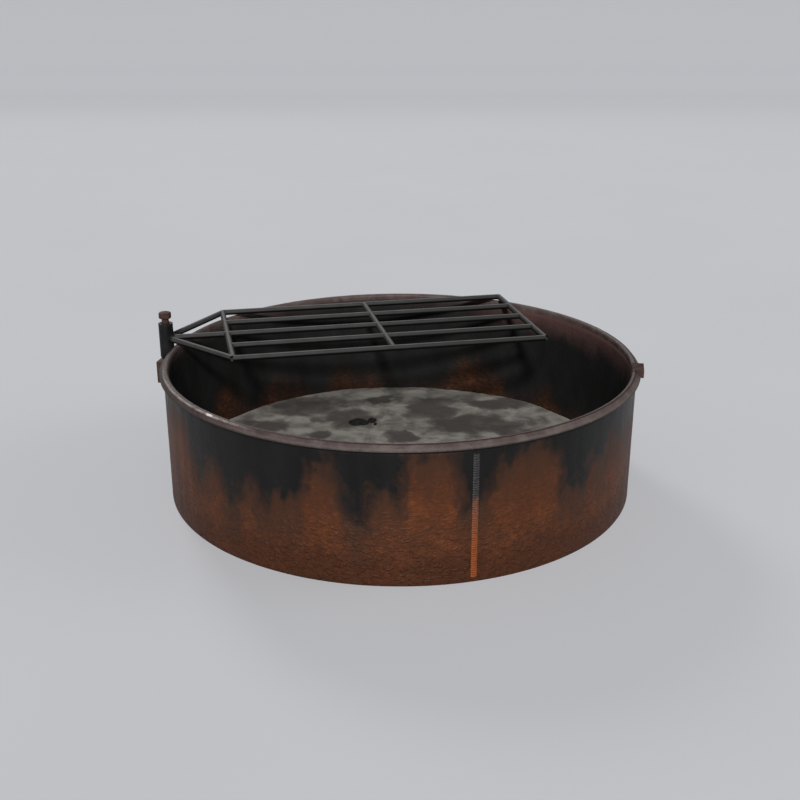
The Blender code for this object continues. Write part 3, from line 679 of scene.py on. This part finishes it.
def build_lip_fillet(material):
    """Run a ripple-faced fillet round the corner under the lip."""
    leg, ripples = 0.0050, 180
    root = WALL_RADIUS + GAP
    top = LIP_FOOT - GAP
    rings = []
    for angle in circle(720):
        size = leg * (0.93 + 0.07 * math.sin(angle * ripples))
        ring = [polar(root, angle, top)]
        for turn in spread(0.0, math.pi / 2, 7):
            out, down = abs(math.cos(turn)), abs(math.sin(turn))
            bulge = (0.55 + 0.45 * (out ** 2.2 + down ** 2.2)) / (out + down)
            ring.append(polar(root + size * bulge * out, angle, top - size * bulge * down))
        rings.append(ring)
    add_piece("lip_fillet", skin(rings, closed=True), "ring", "lip_weld", "soot_weld", 60.0, material)


def build_seam():
    """Stack the wall seam's ripples up its outer face."""
    foot, top = levels("seam_weld")
    azimuth = math.radians(-65.2)
    width, rise, valley, pitch, sag = 0.0115, 0.0024, 0.0010, 0.0043, 0.0016
    back = WALL_RADIUS + GAP
    count = round((top - foot) / pitch)
    draw = random.Random(5)
    jitter = [draw.uniform(-1.0, 1.0) for _ in range(count + 2)]
    rings = []
    for height in spread(foot, top, 10 * count + 1):
        phase = (height - foot) / pitch
        ripple = 1.0 - (2 * (phase % 1.0) - 1.0) ** 2
        proud = valley + (rise - valley) * ripple
        half = width / 2 * (0.90 + 0.08 * ripple + 0.03 * jitter[int(phase)])
        ring = [polar(back, azimuth - half / back, height), polar(back, azimuth + half / back, height)]
        for turn in spread(0.0, math.pi, 11)[1:-1]:
            level = height + sag * (0.5 - math.sin(turn))
            out = back + proud * math.sin(turn) ** 0.8
            ring.append(polar(out, azimuth + half * math.cos(turn) / back, min(max(level, foot), top)))
        rings.append(ring)
    add_piece("seam_ripples", skin(rings), "ring", "seam_weld", "seam_bead", 70.0, seam_material())


# Pivot


def build_lug(material):
    """Make a block with its back on the round wall and a hole for the bolt."""
    corner = math.atan2(LUG_HALF, math.sqrt((WALL_RADIUS + GAP) ** 2 - LUG_HALF**2))
    plan = [Vector((LUG_OUTER, y, 0.0)) for y in spread(-LUG_HALF, LUG_HALF, 25)]
    plan += [polar(WALL_RADIUS + GAP, angle, 0.0) for angle in spread(corner, -corner, 48)]
    axis = OUT * PIVOT_RADIUS
    hole = [axis + (point - axis).normalized() * BOLT_HOLE_RADIUS for point in plan]
    rings = []
    for outline, height in ((hole, LUG_FOOT), (plan, LUG_FOOT), (plan, LUG_TOP), (hole, LUG_TOP)):
        rings.append([point + UP * height for point in outline])
    mesh = skin(rings, closed=True)
    mesh.transform(HALF_TURN)
    piece = add_piece("lug_block", mesh, "ring", "pivot_lug", "rust_steel", 180.0, material)
    modifier = piece.modifiers.new("edges", "BEVEL")
    modifier.width = 0.0010
    modifier.segments = 4
    modifier.limit_method = "ANGLE"
    modifier.angle_limit = math.radians(50.0)
    modifier.harden_normals = True


def build_lug_fillet(material):
    """Run a rippled fillet down one side of the lug, under it and up the other side."""
    root, leg, pitch, drop = WALL_RADIUS + GAP, 0.0060, 0.0040, 0.0020
    path = []
    for height in spread(LUG_TOP - drop, LUG_FOOT, 89):
        path.append((-LUG_HALF - GAP, height, -1.0, 0.0))
    for turn in spread(0.0, math.pi / 2, 9)[1:-1]:
        aside, down = -math.cos(turn), -math.sin(turn)
        path.append((-LUG_HALF + GAP * aside, LUG_FOOT + GAP * down, aside, down))
    for arc in spread(-LUG_HALF, 0.0, 84):
        path.append((arc, LUG_FOOT - GAP, 0.0, -1.0))
    path += [(-arc, height, -aside, down) for arc, height, aside, down in reversed(path[:-1])]
    rings = []
    travelled, last = 0.0, None
    for arc, height, aside, down in path:
        spot = Vector((arc + aside * leg / 2, height + down * leg / 2))
        travelled += (spot - last).length if last else 0.0
        last = spot
        size = leg * (0.90 + 0.10 * abs(math.sin(math.pi * travelled / pitch)))
        ring = [polar(root, arc / root, height)]
        for turn in spread(0.0, math.pi / 2, 8):
            bulge = 1.0 / (abs(math.cos(turn)) + abs(math.sin(turn))) ** 0.75
            away, out = math.cos(turn) * bulge * size, math.sin(turn) * bulge * size
            ring.append(polar(root + out, (arc + away * aside) / root, height + away * down))
        rings.append(ring)
    mesh = skin(rings)
    mesh.transform(HALF_TURN)
    add_piece("lug_fillet", mesh, "ring", "lug_weld", "rust_steel", 60.0, material)


def hex_radius(across, angle, limit):
    """Give a hexagon's radius in one direction, with its corners cut off at a limit."""
    half = math.pi / 6
    return min(across / 2 / math.cos((angle + half) % (2 * half) - half), limit)


def build_bolt(material):
    """Make the hex-headed bolt, with a thread cut up to where the nut ends."""
    foot, top = levels("pivot_bolt")
    head_foot = top - HEAD_HEIGHT
    thread_top = levels("pivot_nut")[1] + THREAD_PITCH
    tip, depth = BOLT_RADIUS - 0.0010, 0.0009
    angles = circle(ROUND_STEPS)
    rings = []
    for height in spread(foot, thread_top, 1 + 8 * round((thread_top - foot) / THREAD_PITCH)):
        ring = []
        for angle in angles:
            phase = ((height - foot) / THREAD_PITCH - angle / (2 * math.pi)) % 1.0
            cut = depth * (1.0 - abs(2 * phase - 1.0)) * min(1.0, (thread_top - height) / THREAD_PITCH)
            ring.append(polar(min(BOLT_RADIUS - cut, tip + height - foot), angle, height))
        rings.append(ring)
    for height in spread(thread_top, head_foot, 20)[1:]:
        rings.append([polar(BOLT_RADIUS, angle, height) for angle in angles])
    # The head, with its corners cut off a little below and in a slope above
    reach = HEAD_WIDTH / 2
    rows = [(head_foot, reach + 0.0004), (head_foot + 0.0006, 2 * reach), (top - 0.0012, 2 * reach)]
    rows += [(top - 0.0006, reach + 0.0008), (top - 0.0002, reach), (top, reach - 0.0006)]
    for height, limit in rows:
        rings.append([polar(hex_radius(HEAD_WIDTH, angle, limit), angle, height) for angle in angles])
    rings.append([polar(reach / 2, angle, top) for angle in angles])
    mesh = skin(rings)
    mesh.transform(ON_PIVOT)
    add_piece("bolt_hex", mesh, "ring", "pivot_bolt", "rust_steel", 40.0, material)


def build_nut(material):
    foot, top = levels("pivot_nut")
    reach = NUT_WIDTH / 2
    chamfer = ((0.0, reach - 0.0001), (0.0005, reach + 0.0008), (0.0011, 2 * reach))
    rows = [(foot + height, limit) for height, limit in chamfer]
    rows += [(top - height, limit) for height, limit in reversed(chamfer)]
    angles = circle(ROUND_STEPS)
    rings = []
    for height, limit in rows:
        rings.append([polar(hex_radius(NUT_WIDTH, angle, limit), angle, height) for angle in angles])
    sink = 0.0006
    for height, flare in ((top, sink), (top - sink, 0.0), (foot + sink, 0.0), (foot, sink)):
        rings.append([polar(BOLT_HOLE_RADIUS + flare, angle, height) for angle in angles])
    mesh = skin(rings, closed=True)
    mesh.transform(ON_PIVOT)
    add_piece("nut_hex", mesh, "ring", "pivot_nut", "rust_steel", 30.0, material)


def build_washers(rusty, grey):
    edge = 0.0003
    split = math.radians(12.0)
    outline = rounded_outline(BOLT_HOLE_RADIUS, SPRING_RADIUS, *levels("spring_washer"), edge)
    mesh = turned(outline, ROUND_STEPS, None, split / 2, 2 * math.pi - split)
    mesh.transform(ON_PIVOT)
    add_piece("washer_split", mesh, "ring", "spring_washer", "rust_steel", 50.0, rusty)

    outline = rounded_outline(BORE_RADIUS, THRUST_RADIUS, *levels("thrust_washer"), edge)
    mesh = turned(outline, ROUND_STEPS)
    mesh.transform(ON_PIVOT)
    add_piece("washer_thrust", mesh, "lift", "thrust_washer", "grate_steel", 50.0, grey)


# Cooking grate


def crossing(point, along, host):
    """Give the lengths at which a line enters and leaves a round host."""
    foot, axis, radius = host
    offset = point - foot
    offset = offset - axis * offset.dot(axis)
    lead = along - axis * along.dot(axis)
    a, b = lead.length_squared, offset.dot(lead)
    root = math.sqrt(max(b * b - a * (offset.length_squared - radius**2), 0.0))
    return (-b - root) / a, (-b + root) / a


def add_rod(mesh, start, end, start_hosts=(), end_hosts=(), inward=None):
    """Skin a rod between two points, coped to the round hosts at either end.

    Where an inward direction is given, only that side of the rod is coped, and the other side
    runs on to the points themselves.
    """
    length = (end - start).length
    along = (end - start) / length
    across = UP.cross(along)
    offsets = [(across * math.cos(t) + UP * math.sin(t)) * ROD_RADIUS for t in circle(ROD_SIDES)]
    firsts, lasts = [], []
    for offset in offsets + [Vector()]:
        coped = inward is None or offset.dot(inward) > -GAP
        leaves = [crossing(start + offset, along, host)[1] for host in start_hosts if coped]
        enters = [crossing(start + offset, along, host)[0] for host in end_hosts if coped]
        firsts.append(max(leaves, default=0.0))
        lasts.append(min(enters, default=length))
    first_tip, last_tip = firsts.pop(), lasts.pop()

    edge, step = 0.0006, 0.020
    rounding = [(edge * (1 - math.sin(t)), edge * (1 - math.cos(t))) for t in spread(0.0, 1.5, 5)]
    rows = [(0.0, firsts)] if start_hosts else [(inset, [reach] * ROD_SIDES) for inset, reach in rounding]
    low, high = max(firsts) + ROD_RADIUS / 2, min(lasts) - ROD_RADIUS / 2
    for reach in spread(low, high, max(3, round((high - low) / step))):
        rows.append((0.0, [reach] * ROD_SIDES))
    if end_hosts:
        rows.append((0.0, lasts))
    else:
        rows += [(inset, [length - reach] * ROD_SIDES) for inset, reach in reversed(rounding)]
    rings = []
    for inset, reaches in rows:
        scale = 1.0 - inset / ROD_RADIUS
        rings.append([start + offset * scale + along * reach for offset, reach in zip(offsets, reaches)])
    loops = add_skin(mesh, rings, caps=False)
    for loop, reach in ((loops[0], first_tip), (loops[-1], last_tip)):
        tip = mesh.verts.new(start + along * reach)
        for i, corner in enumerate(loop):
            mesh.faces.new((corner, loop[(i + 1) % len(loop)], tip))


def add_butt_beads(mesh, seat, along, across, sides=(0.0, math.pi)):
    """Lay beads where a rod leaves a bar that it butts against."""
    reach = ROD_RADIUS + BEAD - BEAD_SINK
    host_reach = ROD_RADIUS + GAP + BEAD
    for middle in sides:
        path = []
        for angle in spread(middle - math.radians(40.0), middle + math.radians(40.0), 21):
            rise = reach * math.sin(angle)
            out = along * math.sqrt(host_reach**2 - rise**2)
            path.append(seat + out + across * (reach * math.cos(angle)) + UP * rise)
        add_bead(mesh, path, BEAD)


def add_sleeve_bead(mesh, heading, low, high):
    """Lay a bead over a rod where it meets the sleeve, between two angles round the rod."""
    along = Vector((math.cos(heading), math.sin(heading), 0.0))
    across = UP.cross(along)
    reach = ROD_RADIUS + BEAD - BEAD_SINK
    host_reach = SLEEVE_RADIUS + GAP + BEAD
    path = []
    for angle in spread(math.radians(low), math.radians(high), 33):
        aside = reach * math.cos(angle)
        out = math.sqrt(host_reach**2 - aside**2)
        path.append(along * out + across * aside + UP * (reach * math.sin(angle)))
    add_bead(mesh, path, BEAD)


def add_grate_piece(name, mesh, node, material):
    place = Matrix.Translation((-PIVOT_RADIUS, 0.0, ROD_FOOT + ROD_RADIUS))
    mesh.transform(place @ Matrix.Rotation(GRATE_HEADING, 4, "Z"))
    add_piece(name, mesh, "grate", node, "grate_steel", 50.0, material)


def build_sleeve(material):
    foot, top = levels("grate_sleeve")
    outline = rounded_outline(BORE_RADIUS, SLEEVE_RADIUS, foot, top, EDGE, 6)
    split = len(outline) // 4
    wall = [(SLEEVE_RADIUS, height) for height in spread(foot + EDGE, top - EDGE, 14)[1:-1]]
    mesh = turned(outline[:split] + wall + outline[split:], 96)
    mesh.transform(ON_PIVOT)
    add_piece("sleeve_tube", mesh, "grate", "grate_sleeve", "grate_steel", 50.0, material)


def build_grate(material):
    half = GRATE_WIDTH / 2
    names = ("front_side", "front_inner", "centre", "rear_inner", "rear_side")
    offsets = spread(-half, half, len(names))
    cleared = ROD_RADIUS + GAP
    near, end, middle = (OUT * reach for reach in (NEAR_REACH, END_REACH, MID_REACH))
    near_host, end_host = (near, LEFT, cleared), (end, LEFT, cleared)
    stem_host = (Vector(), OUT, cleared)
    sleeve_host = (Vector(), UP, SLEEVE_RADIUS + GAP)
    bar_hosts = [(LEFT * offset, OUT, cleared) for offset in offsets]

    mesh = bmesh.new()
    add_rod(mesh, Vector(), near, [sleeve_host], [near_host])
    add_sleeve_bead(mesh, 0.0, 60.0, 120.0)
    add_butt_beads(mesh, near, -OUT, LEFT)
    add_grate_piece("stem_rod", mesh, "stem_bar", material)
    for name, side, low, high in (("front", -1.0, 60.0, 220.0), ("rear", 1.0, -40.0, 120.0)):
        mesh = bmesh.new()
        add_rod(mesh, Vector(), near + LEFT * side * half, [sleeve_host, stem_host], [near_host])
        add_sleeve_bead(mesh, side * math.atan2(half, NEAR_REACH), low, high)
        add_grate_piece(name + "_diagonal_rod", mesh, name + "_diagonal", material)
    for name, offset in zip(names, offsets):
        mesh = bmesh.new()
        aside = LEFT * offset
        if abs(offset) < half:
            add_rod(mesh, near + aside, end + aside, [near_host], [end_host])
            add_butt_beads(mesh, near + aside, OUT, LEFT)
            add_butt_beads(mesh, end + aside, -OUT, LEFT)
        else:
            add_rod(mesh, near + aside, end + aside)
        add_grate_piece(name + "_rod", mesh, name + "_bar", material)
    for name, seat, inward in (("near", near, OUT), ("end", end, -OUT)):
        mesh = bmesh.new()
        add_rod(mesh, seat - LEFT * half, seat + LEFT * half, [bar_hosts[0]], [bar_hosts[-1]], inward)
        add_butt_beads(mesh, seat - LEFT * half, LEFT, inward, (0.0,))
        add_butt_beads(mesh, seat + LEFT * half, -LEFT, inward, (0.0,))
        add_grate_piece(name + "_crossbar_rod", mesh, name + "_crossbar", material)
    for i in range(len(names) - 1):
        mesh = bmesh.new()
        start, stop = middle + LEFT * offsets[i], middle + LEFT * offsets[i + 1]
        add_rod(mesh, start, stop, [bar_hosts[i]], [bar_hosts[i + 1]])
        add_butt_beads(mesh, start, LEFT, OUT)
        add_butt_beads(mesh, stop, -LEFT, OUT)
        add_grate_piece(f"mid_rod_{i + 1}", mesh, f"mid_crossbar_{i + 1}", material)


# Rim block


def block_section(aside, inset):
    """Give the block's section at a distance from its middle, drawn in from its full size."""
    outer, inner, top = BLOCK_OUTER - inset, BLOCK_OUTER - BLOCK_DEPTH + inset, BLOCK_TOP - inset
    foot = BLOCK_TOP - BLOCK_HEIGHT
    crest = WALL_INNER + LIP_CREST
    turn = math.acos((math.hypot(inner, aside) - crest) / (LIP_CREST + GAP))
    crown = [(math.sqrt(radius**2 - aside**2), height) for radius, height in lip_crown(GAP, turn, 0.0)]
    corners = (
        (outer - EDGE, foot + EDGE, -90.0), (outer - EDGE, top - EDGE, 0.0), (inner + EDGE, top - EDGE, 90.0),
    )
    return [(crown[-1][0], foot)] + round_corners(corners, EDGE) + crown


def build_block(material):
    """Seat a block over the lip, with a leg outside the lip's edge and a bead at each end."""
    half = BLOCK_WIDTH / 2
    ending = [(half - EDGE + out, EDGE - rise) for out, rise in arc((0.0, 0.0), EDGE, 0.0, math.pi / 2, 5)]
    stations = [(-aside, inset) for aside, inset in ending]
    stations += [(aside, 0.0) for aside in spread(EDGE - half, half - EDGE, 16)[1:-1]] + ending[::-1]
    sections = []
    for aside, inset in stations:
        sections.append([Vector((x, aside, z)) for x, z in block_section(aside, inset)])
    mesh = skin(sections)
    turn = math.asin((half + BLOCK_BEAD - BEAD_SINK) / WALL_RADIUS)
    crown = lip_crown(GAP + BLOCK_BEAD, math.pi / 2, 0.0)
    for angle in (-turn, turn):
        add_bead(mesh, [polar(radius, angle, height) for radius, height in crown], BLOCK_BEAD)
    mesh.transform(Matrix.Rotation(BLOCK_AZIMUTH, 4, "Z"))
    add_piece("block_saddle", mesh, "ring", "rim_block", "rust_steel", 40.0, material)


# Ash and charcoal


def ash_level(x, y):
    """Give the ash's own level, which swells by a few millimetres over the bed."""
    level = ASH_LEVEL
    for length, heading, phase in ((0.310, 0.4, 0.9), (0.190, 1.7, 2.6), (0.230, 2.8, 4.4)):
        along = x * math.cos(heading) + y * math.sin(heading)
        level += 0.0008 * math.sin(2 * math.pi * along / length + phase)
    return level


def over(point, size, level):
    """Give a point's place in a level of a noise field whose blots are about a size across."""
    return Vector((point.x / size, point.y / size, level))


def build_ash():
    """Lay the ash as rings of points with lumps and grit, banked a little against the wall."""
    rings = 110
    outer = WALL_INNER - GAP
    angles = circle(RING_STEPS)
    mesh = bmesh.new()
    loops = [[mesh.verts.new(polar(outer, angle, 0.0)) for angle in angles]]
    for k in range(rings):
        radius = outer * (1 - k / rings)
        loop = []
        for angle in angles:
            point = polar(radius, angle, 0.0)
            lumps = noise.fractal(over(point, 0.050, 3.1), 0.9, 2.0, 5)
            grit = noise.fractal(over(point, 0.008, 7.7), 0.8, 2.0, 3)
            drift = max(0.0, 1.0 - (outer - radius) / 0.020) ** 2
            bank = 0.0012 * drift * (0.2 + noise.noise(over(point, 0.028, 9.0)))
            point.z = ash_level(point.x, point.y) + 0.0012 * lumps + 0.0004 * grit + bank
            loop.append(mesh.verts.new(point))
        loops.append(loop)
    bridge(mesh, loops)
    mesh.faces.new(loops[0])
    mesh.faces.new(loops[-1])
    add_piece("ash_field", mesh, "ring", "ash_bed", "ash", 80.0, ash_material())


def build_char():
    """Make cracked lumps, each sunk a little into the ash."""
    material = char_material()
    sink = 0.0030
    for size, seed, swell in (("large", 1.3, 1.16), ("small", 4.9, 1.14), ("chip", 8.1, 1.0)):
        low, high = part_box("charcoal_" + size)
        middle = (low + high) / 2
        half = (high - low) / 2
        mesh = bmesh.new()
        bmesh.ops.create_icosphere(mesh, subdivisions=6, radius=1.0)
        for corner in mesh.verts:
            way = corner.co.normalized()
            lump = 1.0 + 0.16 * noise.fractal(way * 1.6 + Vector((seed, 0, 0)), 0.9, 2.0, 3)
            distances, _ = noise.voronoi(way * 3.2 + Vector((seed, seed, 0)))
            crack = min((distances[1] - distances[0]) / 0.16, 1.0)
            reach = lump * (0.88 + 0.12 * crack ** 0.5)
            corner.co = Vector((way.x * half.x, way.y * half.y, way.z * 2 * half.z)) * reach * swell
            corner.co.z = max(corner.co.z, -sink)
            corner.co += Vector((middle.x, middle.y, low.z))
        add_piece("char_" + size, mesh, "ring", "charcoal_" + size, "charcoal", 60.0, material)


# Floor, backdrop, light and camera


def build_stage():
    """Lay a pale floor that curves up into a low backdrop far behind the ring."""
    ahead = Vector((-math.sin(CAMERA_HEADING), math.cos(CAMERA_HEADING)))
    aside = Vector((ahead.y, -ahead.x))
    near, bend, curve, half = -9.0, 7.6, 3.0, 16.0
    profile = [(near, 0.0), (-2.0, 0.0), (2.0, 0.0), (bend, 0.0)]
    for turn in spread(0.0, math.radians(75.0), 17)[1:]:
        profile.append((bend + curve * math.sin(turn), curve * (1 - math.cos(turn))))
    mesh = bmesh.new()
    rows = []
    for along, height in profile:
        spots = [ahead * along + aside * side for side in (-half, -3.0, 3.0, half)]
        rows.append([mesh.verts.new((spot.x, spot.y, height)) for spot in spots])
    bridge(mesh, rows, closed=False)
    look = Look("studio_floor")
    paint = look.ramp(look.noise(0.9, 2.0), (0.3, tone(191, 192, 196)), (0.7, tone(193, 194, 198)))
    # Painted shade on the stage: the far floor is painted a little darker, and the backdrop darker as it
    # rises, against the light that falls more squarely on its curve.
    far = look.paint(paint, look.band(look.radius(), 3.0, 9.0), tone(188, 189, 193))
    rise = look.ramp(look.height, (0.0, tone(188, 189, 193)), (0.03, tone(180, 181, 185)),
                     (0.10, tone(175, 176, 180)), (0.20, tone(169, 170, 174)),
                     (0.45, tone(163, 164, 167)), (0.80, tone(158, 159, 162)))
    colour = look.paint(far, look.band(look.height, 0.0, 0.01), rise)
    material = look.finish(colour, 0.95, look.bump(look.noise(0.002), 0.00005), 0.1)
    add_mesh("studio_floor", mesh, material)


def add_sun(name, azimuth, elevation, strength, softness):
    """Add a far soft light. Azimuth counts from the camera's right, round behind the ring."""
    data = bpy.data.lights.new(name, "SUN")
    data.energy = strength
    data.angle = math.radians(softness)
    heading = CAMERA_HEADING + math.radians(azimuth + 90.0)
    add_object(name, data).rotation_euler = (math.radians(90.0 - elevation), 0.0, heading)


def build_light():
    world = bpy.data.worlds.new("studio_air")
    world.use_nodes = True
    tree = world.node_tree
    air = tree.nodes["Background"]
    air.inputs["Color"].default_value = (1.0, 1.0, 1.0, 1.0)
    air.inputs["Strength"].default_value = 0.19
    seen = tree.nodes.new("ShaderNodeBackground")
    seen.inputs["Color"].default_value = tone(186, 187, 191)
    path = tree.nodes.new("ShaderNodeLightPath")
    choice = tree.nodes.new("ShaderNodeMixShader")
    tree.links.new(path.outputs["Is Camera Ray"], choice.inputs[0])
    tree.links.new(air.outputs[0], choice.inputs[1])
    tree.links.new(seen.outputs[0], choice.inputs[2])
    tree.links.new(choice.outputs[0], tree.nodes["World Output"].inputs["Surface"])
    bpy.context.scene.world = world
    add_sun("key_front", 268.5, 34.0, 3.72, 5.5)
    add_sun("rim_back_left", 114.0, 30.0, 0.64, 15.0)
    add_sun("fill_right", 5.0, 22.0, 0.43, 35.0)


def build_camera():
    data = bpy.data.cameras.new("photo_camera")
    data.lens = CAMERA_LENS
    camera = add_object("photo_camera", data)
    camera.location = CAMERA_PLACE
    camera.rotation_euler = (CAMERA_TILT, 0.0, CAMERA_HEADING)
    bpy.context.scene.camera = camera


build_camera()
build_stage()
build_light()
bpy.context.scene.view_settings.view_transform = "Standard"

build_wall()
build_lip()
build_lip_fillet(soot_and_shade_weld_material())
build_seam()
build_ash()
build_char()

grate_steel = grate_material()
rust_steel = rust_material()
build_lug(rust_steel)
build_lug_fillet(rust_steel)
build_bolt(rust_steel)
build_nut(rust_steel)
build_washers(rust_steel, grate_steel)
build_sleeve(sleeve_material())
build_grate(grate_steel)
build_block(rust_steel)
